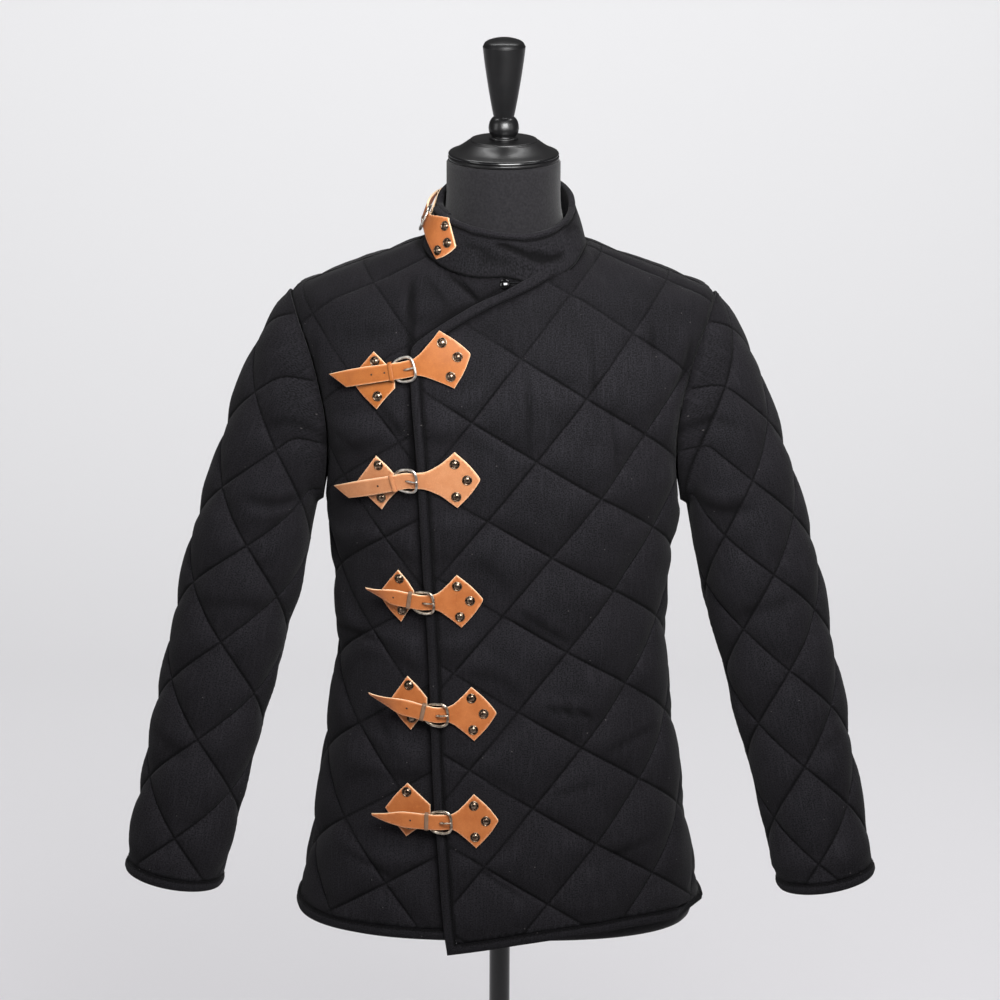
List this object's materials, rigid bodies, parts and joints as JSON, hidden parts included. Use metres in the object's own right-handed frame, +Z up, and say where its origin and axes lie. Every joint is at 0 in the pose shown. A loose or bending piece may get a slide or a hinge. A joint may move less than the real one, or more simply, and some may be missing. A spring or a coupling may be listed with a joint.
{
  "type": "gambeson on a dress form",
  "caption": "Black quilted gambeson with an overlapping front, tan leather straps and buckles and a stand collar, on a limbless dress form with a turned cap and a round base.",
  "frame": {"origin": "centre of the base's flat underside, on the floor under the pole", "axes": "+Z up along the pole, -Y the way the garment's front faces, +X towards the wearer's left"},
  "size_m": [0.8418, 0.34, 1.6993],
  "materials": {
    "quilted_cloth": "matte cotton twill, quilted in diamonds",
    "bound_edge": "matte twill tape",
    "leather": "satin vegetable-tanned leather",
    "buckle_metal": "antiqued, worn bright on the edges",
    "button": "gloss black",
    "form_cloth": "matte stretched jersey",
    "black_turned_wood": "black satin lacquer",
    "black_metal": "gloss black enamel"
  },
  "bodies": {
    "root": {"front_left": "quilted_cloth", "front_right": "quilted_cloth", "back": "quilted_cloth", "sleeve_left": "quilted_cloth", "sleeve_right": "quilted_cloth", "collar": "quilted_cloth", "binding_front_left": "bound_edge", "binding_front_right": "bound_edge", "binding_back": "bound_edge", "binding_cuff_left": "bound_edge", "binding_cuff_right": "bound_edge", "strap_1": "leather", "buckle_plate_1": "leather", "buckle_1": "buckle_metal", "prong_1": "buckle_metal", "strap_2": "leather", "buckle_plate_2": "leather", "buckle_2": "buckle_metal", "prong_2": "buckle_metal", "strap_3": "leather", "buckle_plate_3": "leather", "buckle_3": "buckle_metal", "prong_3": "buckle_metal", "strap_4": "leather", "buckle_plate_4": "leather", "buckle_4": "buckle_metal", "prong_4": "buckle_metal", "strap_5": "leather", "buckle_plate_5": "leather", "buckle_5": "buckle_metal", "prong_5": "buckle_metal", "strap_collar": "leather", "buckle_plate_collar": "leather", "buckle_collar": "buckle_metal", "prong_collar": "buckle_metal", "neck_button": "button", "form_torso": "form_cloth", "neck_cap": "black_turned_wood", "finial": "black_turned_wood", "pole": "black_metal", "base": "black_metal"}
  },
  "joints": []
}
